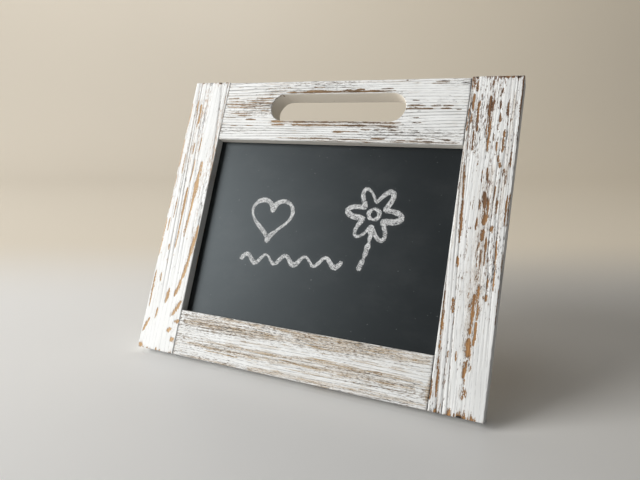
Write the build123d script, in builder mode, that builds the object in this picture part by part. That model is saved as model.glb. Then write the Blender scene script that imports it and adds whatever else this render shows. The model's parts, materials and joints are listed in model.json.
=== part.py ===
"""Tabletop writing board: a brushed wooden frame with a hand slot and a chalk panel, on a hinged leg.

Millimetres, +Z up, the board faces -Y and leans back towards +Y. The origin is on the table, under the
middle of the whole object. A place on the board is given as (x, rise, forward): across from the middle,
up the board from its bottom end, and forward from the back face of the frame.
"""
import os
from math import cos, radians, sin, tan

from build123d import *

# Frame
frame_width = 280.0
frame_height = 238.0
frame_thickness = 17.0
stile_width = 36.0
top_rail_height = 53.0
bottom_rail_height = 36.0
arris_radius = 0.8

# Stance: how far the board leans back, how far its leg splays, and the level flat on its bottom back edge
lean_angle = 25.0
leg_rake = 18.0
heel_flat = 2.5

# Hand slot in the top rail
slot_length = 115.5
slot_height = 23.6
slot_drop = 12.0

# Writing panel and its backing, dropped into a rebate from behind
lip_depth = 7.5
rebate_width = 6.0
panel_thickness = 3.2
backing_thickness = 6.0
panel_clearance = 0.5
panel_edge = 0.4

# Glued dowels that join the rails to the stiles
dowel_diameter = 6.0
dowel_length = 30.0
dowel_inset = 9.0
dowel_point = 0.8
dowel_clearance = 0.05
dowel_end_gap = 0.8

# Butt hinge of the leg, hung below the top of the opening
hinge_drop = 35.0
hinge_length = 38.0
leaf_height = 14.0
leaf_thickness = 1.0
leaf_corner = 1.5
pin_diameter = 2.0
pin_clearance = 0.05
pin_crown = 0.3
knuckle_wall = 0.85
knuckle_count = 5
knuckle_clearance = 0.3
knuckle_side_gap = 0.1

# Countersunk screws of the hinge
hinge_screw_count = 3
hinge_screw_diameter = 2.2
hinge_screw_head = 4.0
hinge_screw_length = 6.0
screw_clearance = 0.05
screw_point = 1.2
driver_slot_width = 0.6
driver_slot_depth = 0.5

# Leg
leg_width = 36.0
leg_thickness = 12.0
leg_spare = 10.0
stop_clearance = 0.1

# Turn buttons that hold the backing in, each on a round-headed screw
button_length = 24.0
button_width = 10.0
button_tip_width = 7.0
button_thickness = 1.2
button_edge = 0.3
button_setback = 5.5
button_side_inset = 40.0
button_clearance = 0.1
button_bore_clearance = 0.08
button_screw_diameter = 2.8
button_screw_head = 5.6
button_screw_head_height = 2.0
button_head_round = 1.4
button_screw_length = 12.0

# Sizes that follow from those above
lean = radians(lean_angle)
rake = radians(leg_rake)
opening_width = frame_width - 2 * stile_width
opening_top = frame_height - top_rail_height
opening_bottom = bottom_rail_height
opening_height = opening_top - opening_bottom
opening_middle = (opening_top + opening_bottom) / 2
hinge_height = opening_top - hinge_drop
rebate_depth = frame_thickness - lip_depth
panel_width = opening_width + 2 * (rebate_width - panel_clearance)
panel_height = opening_height + 2 * (rebate_width - panel_clearance)
panel_back = rebate_depth - panel_thickness
backing_back = panel_back - backing_thickness
slot_middle = frame_height - slot_drop - slot_height / 2
pin_radius = pin_diameter / 2
bore_radius = pin_radius + pin_clearance
knuckle_radius = bore_radius + knuckle_wall
leaf_offset = knuckle_radius + knuckle_clearance
knuckle_length = hinge_length / knuckle_count
leaf_screw_drop = (leaf_height + leaf_offset) / 2
leaf_screw_pitch = hinge_length / hinge_screw_count
button_stand = button_thickness + 2 * button_clearance

# The board rests on the level flat of its bottom back edge, and the leg's heel is the rearmost point
heel_cut = heel_flat * sin(lean) * cos(lean)
pin_forward = backing_back - leaf_offset
pin_lift = hinge_height * cos(lean) + pin_forward * sin(lean) - heel_cut
pin_setback = hinge_height * sin(lean) - pin_forward * cos(lean)
leg_outside = leaf_offset + leg_thickness
leg_heel = pin_setback + leg_outside * cos(rake) + (pin_lift + leg_outside * sin(rake)) * tan(rake)
rear_reach = max(leg_heel, frame_height * sin(lean))
front_reach = frame_thickness * cos(lean) - arris_radius * (sin(lean) + cos(lean) - 1)

across = Vector(1, 0, 0)
up_board = Vector(0, sin(lean), cos(lean))
to_front = Vector(0, -cos(lean), sin(lean))
board = Plane(origin=(0, (front_reach - rear_reach) / 2, -heel_cut), x_dir=across, z_dir=to_front)

# The leg's own plane: its origin is on the hinge pin and its Z looks at the board
pin_middle = board.from_local_coords((0, hinge_height, pin_forward))
up_leg = Vector(0, -sin(rake), cos(rake))
leg = Plane(origin=pin_middle, x_dir=across, z_dir=Vector(0, -cos(rake), -sin(rake)))
leg_opening = lean + rake
leg_above_pin = (leg_outside * cos(leg_opening) + leaf_offset) / sin(leg_opening) + leg_spare
leg_below_pin = (pin_lift + leg_outside * sin(rake)) / cos(rake) + leg_spare

# Rises of the two dowels in each corner
top_dowel_rises = (opening_top + rebate_width + dowel_inset, frame_height - dowel_inset)
bottom_dowel_rises = (dowel_inset, opening_bottom - rebate_width - dowel_inset)

# Where each turn button pivots, and which way its tip points to hold the backing
rail_button_x = opening_width / 2 - button_side_inset
stile_button_x = opening_width / 2 + rebate_width + button_setback
top_button_rise = opening_top + rebate_width + button_setback
bottom_button_rise = opening_bottom - rebate_width - button_setback
turn_buttons = {
    "top_left_button": (-rail_button_x, top_button_rise, -up_board),
    "top_right_button": (rail_button_x, top_button_rise, -up_board),
    "bottom_left_button": (-rail_button_x, bottom_button_rise, up_board),
    "bottom_right_button": (rail_button_x, bottom_button_rise, up_board),
    "left_button": (-stile_button_x, opening_middle, across),
    "right_button": (stile_button_x, opening_middle, -across),
}


def ease_faces(member):
    """Rounds the edges of the front and back faces, before any hole is cut in them."""
    faces = member.faces().sort_by(Axis((0, 0, 0), to_front))
    fillet(faces[-1].edges() + faces[0].edges(), arris_radius)


def cut_rebate():
    """Cuts the pocket that is routed round the back of the joined frame for the panel and backing."""
    with BuildSketch(board) as pocket:
        with Locations((0, opening_middle)):
            Rectangle(opening_width + 2 * rebate_width, opening_height + 2 * rebate_width)
    extrude(pocket.sketch, amount=rebate_depth, mode=Mode.SUBTRACT)


def dowel_plane(side, rise):
    """Plane of a stile's inner face, with its origin on the axis of a dowel."""
    middle = board.from_local_coords((side * opening_width / 2, rise, frame_thickness / 2))
    return Plane(origin=middle, x_dir=to_front, z_dir=across)


def drill_dowels(side, rises):
    """Drills the dowel holes of one corner, to both sides of the joint."""
    for rise in rises:
        with BuildSketch(dowel_plane(side, rise)) as hole:
            Circle(dowel_diameter / 2 + dowel_clearance)
        extrude(hole.sketch, amount=dowel_length / 2 + dowel_end_gap, both=True, mode=Mode.SUBTRACT)


def drill_button_hole(x, rise):
    """Drills the pilot hole of one turn button's screw into the back of the frame."""
    with BuildSketch(board) as hole:
        with Locations((x, rise)):
            Circle(button_screw_diameter / 2 + screw_clearance)
    depth = button_screw_length - button_stand + screw_clearance
    extrude(hole.sketch, amount=depth, mode=Mode.SUBTRACT)


def save(builder, name):
    """Labels a finished piece and writes it to its own file."""
    builder.part.label = name
    export_step(builder.part, f"parts/{name}.step")


def build_stile(side, name):
    """Upright of the frame, full height, with its end grain at top and bottom."""
    with BuildPart() as stile:
        with BuildSketch(board):
            with Locations((side * (frame_width - stile_width) / 2, frame_height / 2)):
                Rectangle(stile_width, frame_height)
        extrude(amount=frame_thickness)
        ease_faces(stile)
        cut_rebate()
        drill_dowels(side, top_dowel_rises + bottom_dowel_rises)
        drill_button_hole(side * stile_button_x, opening_middle)
        split(bisect_by=Plane.XY, keep=Keep.TOP)
    save(stile, name)


def build_dowels(side, rises, name):
    """The two glued dowels of one corner."""
    with BuildPart() as dowels:
        for rise in rises:
            with BuildSketch(dowel_plane(side, rise)):
                Circle(dowel_diameter / 2)
            extrude(amount=dowel_length / 2, both=True)
        chamfer(dowels.edges().filter_by(GeomType.CIRCLE), dowel_point)
    save(dowels, name)


def build_leaf(up, flat_side, own_knuckles, screw_seats, name):
    """Hinge leaf: a flat rolled round the pin, notched where the other leaf has its knuckles."""
    profile = Plane(origin=pin_middle, x_dir=up, z_dir=across)
    with BuildPart() as leaf:
        with BuildSketch(profile):
            Circle(knuckle_radius)
            with Locations((-leaf_height / 2, flat_side * (leaf_offset - leaf_thickness / 2))):
                Rectangle(leaf_height, leaf_thickness)
            Circle(bore_radius, mode=Mode.SUBTRACT)
        extrude(amount=hinge_length / 2, both=True)
        far_edge = leaf.faces().sort_by(Axis(pin_middle, up))[0]
        fillet(far_edge.edges().filter_by(Axis((0, 0, 0), profile.y_dir)), leaf_corner)
        for index in range(knuckle_count):
            if index not in own_knuckles:
                middle = (index + 0.5) * knuckle_length - hinge_length / 2
                with BuildSketch(profile.offset(middle)):
                    Circle(leaf_offset + knuckle_clearance)
                extrude(amount=knuckle_length / 2 + knuckle_side_gap, both=True, mode=Mode.SUBTRACT)
        with Locations(*screw_seats):
            CounterSinkHole(
                radius=hinge_screw_diameter / 2 + screw_clearance,
                counter_sink_radius=hinge_screw_head / 2 + screw_clearance,
                depth=leaf_thickness,
                counter_sink_angle=90,
            )
    save(leaf, name)


def drill_hinge_holes(screw_seats):
    """Drills the pilot holes of a hinge leaf's screws into the wood behind it."""
    for seat in screw_seats:
        with BuildSketch(seat) as hole:
            Circle(hinge_screw_diameter / 2 + screw_clearance)
        extrude(hole.sketch, amount=-hinge_screw_length - screw_clearance, mode=Mode.SUBTRACT)


def add_screw(seat, outline):
    """Turns a screw's half outline about its seat's Z, which points out of the wood."""
    with BuildSketch(Plane(origin=seat.origin, x_dir=seat.x_dir, z_dir=-seat.y_dir)) as half:
        with BuildLine():
            Polyline(*outline, close=True)
        make_face()
    revolve(half.sketch, axis=Axis(seat.origin, seat.z_dir))


def cut_driver_slot(head_top, head_diameter):
    """Cuts the driver slot across a screw's head, from the plane of its top."""
    with BuildSketch(head_top) as slot:
        Rectangle(head_diameter + driver_slot_width, driver_slot_width)
    extrude(slot.sketch, amount=-driver_slot_depth, mode=Mode.SUBTRACT)


def build_hinge_screws(screw_seats, name):
    """Countersunk screws of one hinge leaf, heads flush with it."""
    head_radius = hinge_screw_head / 2
    shank_radius = hinge_screw_diameter / 2
    outline = (
        (0, 0),
        (head_radius, 0),
        (shank_radius, shank_radius - head_radius),
        (shank_radius, screw_point - hinge_screw_length),
        (0, -hinge_screw_length),
    )
    with BuildPart() as screws:
        for seat in screw_seats:
            add_screw(seat, outline)
            cut_driver_slot(seat, hinge_screw_head)
    save(screws, name)


def build_button(x, rise, tip, name):
    """Turn button: a flat plate that tapers from its pivot to its tip."""
    pivot = board.from_local_coords((x, rise, -button_clearance))
    tip_reach = button_length - (button_width + button_tip_width) / 2
    with BuildPart() as button:
        with BuildSketch(Plane(origin=pivot, x_dir=tip, z_dir=to_front)):
            Circle(button_width / 2)
            with Locations((tip_reach, 0)):
                Circle(button_tip_width / 2)
            make_hull()
            Circle(button_screw_diameter / 2 + button_bore_clearance, mode=Mode.SUBTRACT)
        extrude(amount=-button_thickness)
        back_face = button.faces().sort_by(Axis((0, 0, 0), to_front))[0]
        fillet(back_face.outer_wire().edges(), button_edge)
    save(button, name)


os.makedirs("parts", exist_ok=True)

# Stiles stand full height at the sides, and the rails butt between them
build_stile(-1, "left_stile")
build_stile(1, "right_stile")

with BuildPart() as top_rail:
    with BuildSketch(board):
        with Locations((0, frame_height - top_rail_height / 2)):
            Rectangle(opening_width, top_rail_height)
        with Locations((0, slot_middle)):
            SlotOverall(slot_length, slot_height, mode=Mode.SUBTRACT)
    extrude(amount=frame_thickness)
    ease_faces(top_rail)
    cut_rebate()
    drill_dowels(-1, top_dowel_rises)
    drill_dowels(1, top_dowel_rises)
    drill_button_hole(-rail_button_x, top_button_rise)
    drill_button_hole(rail_button_x, top_button_rise)
save(top_rail, "top_rail")

with BuildPart() as bottom_rail:
    with BuildSketch(board):
        with Locations((0, bottom_rail_height / 2)):
            Rectangle(opening_width, bottom_rail_height)
    extrude(amount=frame_thickness)
    ease_faces(bottom_rail)
    cut_rebate()
    drill_dowels(-1, bottom_dowel_rises)
    drill_dowels(1, bottom_dowel_rises)
    drill_button_hole(-rail_button_x, bottom_button_rise)
    drill_button_hole(rail_button_x, bottom_button_rise)
    split(bisect_by=Plane.XY, keep=Keep.TOP)
save(bottom_rail, "bottom_rail")

build_dowels(-1, top_dowel_rises, "top_left_dowels")
build_dowels(1, top_dowel_rises, "top_right_dowels")
build_dowels(-1, bottom_dowel_rises, "bottom_left_dowels")
build_dowels(1, bottom_dowel_rises, "bottom_right_dowels")

# The panel lies on the back of the frame's lip, with the backing behind it
with BuildPart() as writing_panel:
    with BuildSketch(board.offset(panel_back)):
        with Locations((0, opening_middle)):
            Rectangle(panel_width, panel_height)
    extrude(amount=panel_thickness)
    chamfer(writing_panel.edges().filter_by(Axis((0, 0, 0), to_front)), panel_edge)
save(writing_panel, "writing_panel")

# Seats of the hinge's screw heads, level with the open side of each leaf
screw_xs = [(index - (hinge_screw_count - 1) / 2) * leaf_screw_pitch for index in range(hinge_screw_count)]
board_seats = []
leg_seats = []
for x in screw_xs:
    on_board = board.from_local_coords((x, hinge_height - leaf_screw_drop, backing_back - leaf_thickness))
    board_seats.append(Plane(origin=on_board, x_dir=across, z_dir=-to_front))
    on_leg = leg.from_local_coords((x, -leaf_screw_drop, leaf_thickness - leaf_offset))
    leg_seats.append(Plane(origin=on_leg, x_dir=across, z_dir=leg.z_dir))

with BuildPart() as backing_board:
    with BuildSketch(board.offset(backing_back)):
        with Locations((0, opening_middle)):
            Rectangle(panel_width, panel_height)
    extrude(amount=backing_thickness)
    chamfer(backing_board.edges().filter_by(Axis((0, 0, 0), to_front)), panel_edge)
    drill_hinge_holes(board_seats)
save(backing_board, "backing_board")

# Hinge: the board's leaf has the outer and middle knuckles, the leg's leaf those between
build_leaf(up_board, 1, range(0, knuckle_count, 2), board_seats, "hinge_board_leaf")
build_leaf(up_leg, -1, range(1, knuckle_count, 2), leg_seats, "hinge_leg_leaf")
build_hinge_screws(board_seats, "hinge_board_screws")
build_hinge_screws(leg_seats, "hinge_leg_screws")

with BuildPart() as hinge_pin:
    with BuildSketch(Plane(origin=pin_middle, x_dir=up_board, z_dir=across)):
        Circle(pin_radius)
    extrude(amount=hinge_length / 2, both=True)
    fillet(hinge_pin.edges().filter_by(GeomType.CIRCLE), pin_crown)
save(hinge_pin, "hinge_pin")

# The leg's top is mitred to lie flat on the backing when open, which stops it, and its foot is cut level
with BuildPart() as easel_leg:
    with BuildSketch(leg.offset(-leaf_offset)):
        with Locations((0, (leg_above_pin - leg_below_pin) / 2)):
            Rectangle(leg_width, leg_above_pin + leg_below_pin)
    extrude(amount=-leg_thickness)
    fillet(easel_leg.edges().filter_by(Axis((0, 0, 0), up_leg)), arris_radius)
    split(bisect_by=board.offset(backing_back - stop_clearance), keep=Keep.BOTTOM)
    split(bisect_by=Plane.XY, keep=Keep.TOP)
    drill_hinge_holes(leg_seats)
save(easel_leg, "easel_leg")

for button_name, (button_x, button_rise, button_tip) in turn_buttons.items():
    build_button(button_x, button_rise, button_tip, button_name)

# Round-headed screws that the turn buttons pivot on
button_head_radius = button_screw_head / 2
button_shank_radius = button_screw_diameter / 2
button_screw_outline = (
    (0, button_screw_head_height),
    (button_head_radius, button_screw_head_height),
    (button_head_radius, 0),
    (button_shank_radius, 0),
    (button_shank_radius, screw_point - button_screw_length),
    (0, -button_screw_length),
)
button_seats = []
for button_x, button_rise, button_tip in turn_buttons.values():
    under_head = board.from_local_coords((button_x, button_rise, -button_stand))
    button_seats.append(Plane(origin=under_head, x_dir=across, z_dir=-to_front))
with BuildPart() as button_screws:
    for button_seat in button_seats:
        add_screw(button_seat, button_screw_outline)
    head_rims = button_screws.edges().filter_by(GeomType.CIRCLE).group_by(Axis((0, 0, 0), -to_front))[-1]
    fillet(head_rims, button_head_round)
    for button_seat in button_seats:
        cut_driver_slot(button_seat.offset(button_screw_head_height), button_screw_head)
save(button_screws, "button_screws")
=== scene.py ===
import json
from itertools import product

import bpy
import numpy as np
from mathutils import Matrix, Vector


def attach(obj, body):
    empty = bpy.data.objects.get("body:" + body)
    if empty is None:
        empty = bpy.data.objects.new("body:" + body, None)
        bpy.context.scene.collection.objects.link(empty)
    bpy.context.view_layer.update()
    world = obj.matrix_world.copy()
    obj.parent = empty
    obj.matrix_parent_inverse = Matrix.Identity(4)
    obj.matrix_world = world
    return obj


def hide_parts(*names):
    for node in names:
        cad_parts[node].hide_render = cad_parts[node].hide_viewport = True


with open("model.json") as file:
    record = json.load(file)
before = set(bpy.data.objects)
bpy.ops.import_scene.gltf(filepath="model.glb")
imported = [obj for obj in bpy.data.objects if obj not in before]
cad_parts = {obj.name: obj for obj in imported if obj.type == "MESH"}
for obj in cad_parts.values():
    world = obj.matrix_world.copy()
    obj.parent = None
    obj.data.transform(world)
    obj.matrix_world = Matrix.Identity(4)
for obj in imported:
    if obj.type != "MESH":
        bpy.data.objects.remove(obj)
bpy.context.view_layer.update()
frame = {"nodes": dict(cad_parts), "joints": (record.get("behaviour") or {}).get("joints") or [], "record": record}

# Stiles. The two uprights of the frame are planed softwood battens, wire-brushed so that the hard growth
# rings stand up in ridges, then painted white and rubbed back to the wood in streaks. The rails butt
# between them on glued dowels, and a stopped rebate in their back takes the panel and its backing.
MM = 0.001
to_right = np.array([1.0, 0.0, 0.0])
to_front = -np.array(next(joint["axis"] for joint in frame["joints"] if joint["name"] == "left_button_turn"))
up_board = np.array([0.0, to_front[2], -to_front[1]])
board_axes = np.array([to_right, up_board, to_front])


def node_extents(solid, axes, origin):
    """Lowest and highest place of a solid along three directions, in millimetres from an origin in metres."""
    mesh = frame["nodes"][solid].data
    corners = np.empty(3 * len(mesh.vertices), np.float32)
    mesh.vertices.foreach_get("co", corners)
    places = (corners.reshape(-1, 3) - origin) @ axes.T / MM
    return places.min(0), places.max(0)


stile_low, stile_high = node_extents("left_stile", board_axes, np.zeros(3))
board_foot = MM * (stile_low[1] * up_board + stile_low[2] * to_front)
frame_height = stile_high[1] - stile_low[1]
frame_depth = stile_high[2] - stile_low[2]
stile_width = stile_high[0] - stile_low[0]
frame_half_width = -stile_low[0]
panel_low, panel_high = node_extents("writing_panel", board_axes, board_foot)
rebate_clearance = 0.5
rebate_width = stile_width - (frame_half_width + panel_low[0] - rebate_clearance)
rebate_level = panel_high[2]
rebate_ends = (panel_low[1] - rebate_clearance, panel_high[1] + rebate_clearance)
arris_radius = 0.8
end_round = 0.5
lip = 0.3
wall_brushed = 0.12
back_brushed = 0.35
side_brushed = 0.5
corner_brushed = 0.6
front_from = 0.55


def on_board(x, rise, forward):
    """World places in metres of points x to the right, rise up the board and forward of its back, in
    millimetres."""
    local = np.stack(np.broadcast_arrays(x, rise, forward), axis=-1)
    return board_foot + MM * local @ board_axes


def lattice_noise(places, seed):
    """Smooth noise from -1 to 1: each whole-numbered corner of space gets a number from an integer hash,
    and a point takes the sum of its eight corners' numbers, each weighted by its eased nearness."""
    base = np.floor(places).astype(np.int64)
    part = places - base
    ease = part * part * (3.0 - 2.0 * part)
    noise = np.zeros(places.shape[:-1])
    for corner in product((0, 1), repeat=3):
        spot = base + np.array(corner)
        code = spot[..., 0] * 374761393 + spot[..., 1] * 668265263 + spot[..., 2] * 1442695041 + seed * 97531
        code = (code ^ (code >> 13)) * 1274126177
        code = (code ^ (code >> 15)) * 2246822519
        number = ((code >> 12) & 0xFFFF) / 32767.5 - 1.0
        noise += number * np.prod(np.where(corner, ease, 1.0 - ease), axis=-1)
    return noise


def grain_noise(grain, across_size, along_size, seed):
    """Noise in the wood whose blotches are across_size thick and along_size long, in millimetres."""
    return lattice_noise(grain / np.array([across_size, across_size, along_size]), seed)


def fade(value, low, high):
    """Eased step: 0 below low, 1 above high, and a smooth cubic between."""
    share = np.clip((value - low) / (high - low), 0.0, 1.0)
    return share * share * (3.0 - 2.0 * share)


def straight_side(start, end, count, outward, brushed):
    """A flat side of a section as rows of across, forward, outward across, outward forward, brushed and
    arris: count points evenly from start to end."""
    share = np.linspace(0.0, 1.0, count)[:, None]
    places = np.array(start) + share * (np.array(end) - np.array(start))
    return np.hstack([places, np.tile([*outward, brushed, 0.0], (count, 1))])


def round_corner(middle, radius, start_angle, brushed):
    """A quarter round of a section, in the same rows: points on a circle that turns 90 degrees clockwise."""
    angle = np.radians(start_angle - np.linspace(0.0, 90.0, 7)[1:-1])[:, None]
    outward = np.hstack([np.cos(angle), np.sin(angle)])
    weight = np.tile([brushed, 1.0], (len(angle), 1))
    return np.hstack([np.array(middle) + radius * outward, outward, weight])


def batten_section(width, depth, radius, rebate, level, spacing):
    """Closed outline of a batten cut across, clockwise from its outer front corner: brushed front, wall of
    the opening, rebate step and its wall, back, and outer side, with a quarter round at each of four
    corners. Spacing is the step on the front; the back and the outer side, which are seen less, have longer
    ones."""
    inner = width - rebate
    front_count = int(width / spacing)
    back_count = int(width / spacing / 3.4)
    side_count = int(depth / spacing / 2.6)
    return np.vstack([
        straight_side((radius, depth), (width - radius, depth), front_count, (0, 1), 1.0),
        round_corner((width - radius, depth - radius), radius, 90.0, corner_brushed),
        straight_side((width, depth - radius), (width, level + lip), 9, (1, 0), wall_brushed),
        straight_side((width, level + lip / 2), (inner, level), 4, (1, 0), 0.0),
        straight_side((inner, level - lip), (inner, radius), 7, (1, 0), 0.0),
        round_corner((inner - radius, radius), radius, 0.0, 0.1),
        straight_side((inner - radius, 0.0), (radius, 0.0), back_count, (0, -1), back_brushed),
        round_corner((radius, radius), radius, -90.0, 0.4),
        straight_side((0.0, radius), (0.0, depth - radius), side_count, (-1, 0), side_brushed),
        round_corner((radius, depth - radius), radius, 180.0, 0.7),
    ])


def batten_rows(length, spacing, end_radius, cap_rings):
    """Rows along a batten as share of the section, inset and place along: rings growing from the middle of
    the first end, a quarter round over its edge, even steps along the length, and the same at the other
    end."""
    angle = np.radians(np.linspace(0.0, 90.0, 5)[:-1])
    cap = np.linspace(0.06, 1.0, cap_rings, endpoint=False)
    body = np.linspace(end_radius, length - end_radius, int(length / spacing))
    share = np.concatenate([cap, np.ones(len(angle))])
    inset = np.concatenate([np.full(cap_rings, end_radius), end_radius * (1.0 - np.sin(angle))])
    along = np.concatenate([np.zeros(cap_rings), end_radius * (1.0 - np.cos(angle))])
    whole = np.ones(len(body))
    return (
        np.concatenate([share, whole, share[::-1]])[:, None],
        np.concatenate([inset, 0.0 * whole, inset[::-1]])[:, None],
        np.concatenate([along, body, length - along[::-1]])[:, None],
    )


def worn_streaks(across, along, streaks):
    """How deep inside a worn streak each point is: 1 on the streak's line, 0 at its edge and down to -3
    outside. A streak runs from one (across, along) place to another, and its width shrinks to a third at
    both ends."""
    inside = np.full(across.shape, -3.0)
    for start_across, start_along, end_across, end_along, width in streaks:
        run_across = end_across - start_across
        run_along = end_along - start_along
        share = (across - start_across) * run_across + (along - start_along) * run_along
        share = np.clip(share / (run_across**2 + run_along**2), 0.0, 1.0)
        aside_across = across - start_across - share * run_across
        aside_along = along - start_along - share * run_along
        distance = np.hypot(aside_across, aside_along)
        reach = 0.5 * width * (0.35 + 0.65 * np.sqrt(4.0 * share * (1.0 - share)))
        inside = np.maximum(inside, 1.0 - distance / reach)
    return inside


def roughness_left(across, along, calm):
    """How rough the brush left each point: 1, less a bell-shaped share round each calm place, which has a
    half width and a half length. A share below 0 makes its place rougher."""
    rough = np.ones(across.shape)
    for calm_across, calm_along, half_width, half_length, share in calm:
        away = ((across - calm_across) / half_width) ** 2 + ((along - calm_along) / half_length) ** 2
        rough = np.maximum(rough - share * np.exp(-away), 0.0)
    return rough


def growth_rings(grain, rough, timber):
    """A growth ring's number at each point, its swell and its groove. The number is the distance from the
    pith in ring pitches plus a slow and a quick wander. Swell is a cosine wave of it from 0 to 1, and
    groove a power of the swell, so a narrow trough to each ring, of uneven strength. Channels, from a place
    across at the low end to one at the high end, are bell-shaped troughs of their own."""
    seed = timber["seed"]
    across, forward, along = np.moveaxis(grain, -1, 0)
    pith_across, pith_forward, pith_drift = timber["pith"]
    slow, quick = timber["waver"]
    ring = np.hypot(across - pith_across - pith_drift * along, forward - pith_forward) / timber["ring_pitch"]
    ring = ring + slow * grain_noise(grain, 18.0, 120.0, seed)
    ring = ring + quick * grain_noise(grain, 4.0, 45.0, seed + 1)
    swell = rough * (0.5 + 0.5 * np.cos(2.0 * np.pi * ring))
    strength = lattice_noise(np.stack([0.8 * ring, 0.0 * ring, along / 55.0], axis=-1), seed + 2)
    strength = strength + 0.8 * grain_noise(grain, 11.0, 130.0, seed + 13)
    groove = swell**6 * np.clip(timber["grooved"] + 0.9 * strength, 0.04, 1.0)
    for low_place, high_place, width, deep in timber["channels"]:
        run = np.stack([along / 40.0, 0.0 * along, 0.0 * along + low_place], axis=-1)
        wander = 0.5 * lattice_noise(run, seed)
        aside = across - low_place - along / timber["length"] * (high_place - low_place) - wander
        groove = np.maximum(groove, deep * rough * np.exp(-((aside / width) ** 2)))
    return ring, swell, groove


def paint_marks(grain, brushed, arris, rough, groove, timber, streaks):
    """What is left of the paint at each point, as four marks by name. Bare is above 0.35 where it is gone:
    in the placed streaks with ragged edges, in scattered flecks, which corners have more of and calm places
    fewer, and in bites at the ends. Fray says how broken it is: it goes from one value to another along the
    timber, and is higher in troughs, patches, corners and ends. Tint says how thin it is in the placed
    bands. Seam is a bell over each end, the dark line of a joint."""
    seed = timber["seed"]
    across, along = grain[..., 0], grain[..., 2]
    front = brushed > front_from
    from_end = np.minimum(along, timber["length"] - along)
    end_wear = timber["end_wear"]
    thick, long = timber["ragged"]
    ragged = 0.75 * grain_noise(grain, thick, long, seed + 4)
    ragged = ragged + 0.45 * grain_noise(grain, 0.6 * thick, 0.3 * long, seed + 5)
    streak = worn_streaks(across, along, streaks) + ragged - timber["streak_hold"]
    fleck = grain_noise(grain, *timber["fleck"], seed + 6) + 0.8 * grain_noise(grain, 5.0, 26.0, seed + 7)
    fleck = fleck + 0.35 * grain_noise(grain, 0.5, 1.6, seed + 8) + 0.4 * arris
    fleck = fleck - timber["paint_hold"] - 0.6 * (1.0 - rough)
    bite = 1.5 * grain_noise(grain, 1.9, 40.0, seed + 14) + 0.7 * grain_noise(grain, 7.0, 40.0, seed + 15)
    bite = bite - from_end / 1.6 - 2.0 * (1.0 - end_wear)
    bare = np.maximum(np.where(front, np.maximum(streak, bite), -3.0), 0.35 + 1.4 * fleck)

    low_fray, high_fray = timber["fray"]
    patch = timber["patchy"] * grain_noise(grain, 8.0, 50.0, seed + 9)
    fray = low_fray + along / timber["length"] * (high_fray - low_fray) + 0.4 * groove + patch + 0.25 * arris
    fray = fray - 0.5 * (1.0 - rough)
    fray = fray + brushed * (0.6 * end_wear * np.exp(-from_end / 2.0) + 0.8 * fade(bite, 0.0, 0.5))
    fray = fray - 0.9 * (1.0 - brushed)
    tint = fade(worn_streaks(across, along, timber["thin"]) + 0.5 * ragged, -0.3, 0.9)
    seam_width = 0.7 + 0.3 * grain_noise(grain, 2.5, 40.0, seed + 16)
    return {
        "bare": np.clip(bare, -2.0, 2.0),
        "fray": fray,
        "tint": np.where(front, timber["tinted"] * tint, 0.0),
        "seam": np.where(front, timber["seam"] * np.exp(-((from_end / seam_width) ** 2)), 0.0),
    }


def weathering(grain, brushed, arris, timber, streaks):
    """What brushing, painting and rubbing back did at each point of a timber: how deep it sank, in
    millimetres, and marks for its finish by name. Depth adds up the grooves, finer lines between them and
    the missing paint film, as far as the point was brushed, and chips out of the corners. Timber places are
    set apart by the seed, so that no two timbers are alike."""
    seed = timber["seed"]
    film = 0.18
    across, along = grain[..., 0], grain[..., 2]
    rough = roughness_left(across, along, timber["calm"])
    ring, swell, groove = growth_rings(grain, rough, timber)
    marks = paint_marks(grain, brushed, arris, rough, groove, timber, streaks)
    line = rough * fade(grain_noise(grain, 0.8, 55.0, seed + 3), 0.05, 0.55)
    chip = grain_noise(grain, 6.0, 2.4, seed + 11) + 0.6 * grain_noise(grain, 6.0, 11.0, seed + 12)
    chip = np.clip(chip - 0.3, 0.0, 1.0)
    depth = timber["groove_depth"] * (0.78 * groove + 0.22 * swell) + timber["line_depth"] * line
    depth = brushed * (depth + film * fade(marks["bare"], 0.2, 0.5)) + timber["chipped"] * arris * chip
    marks.update(groove=groove, ring=ring, reach=along / timber["length"], brushed=brushed)
    return depth, {**marks, "timber_place": grain + 400.0 * seed}


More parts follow.
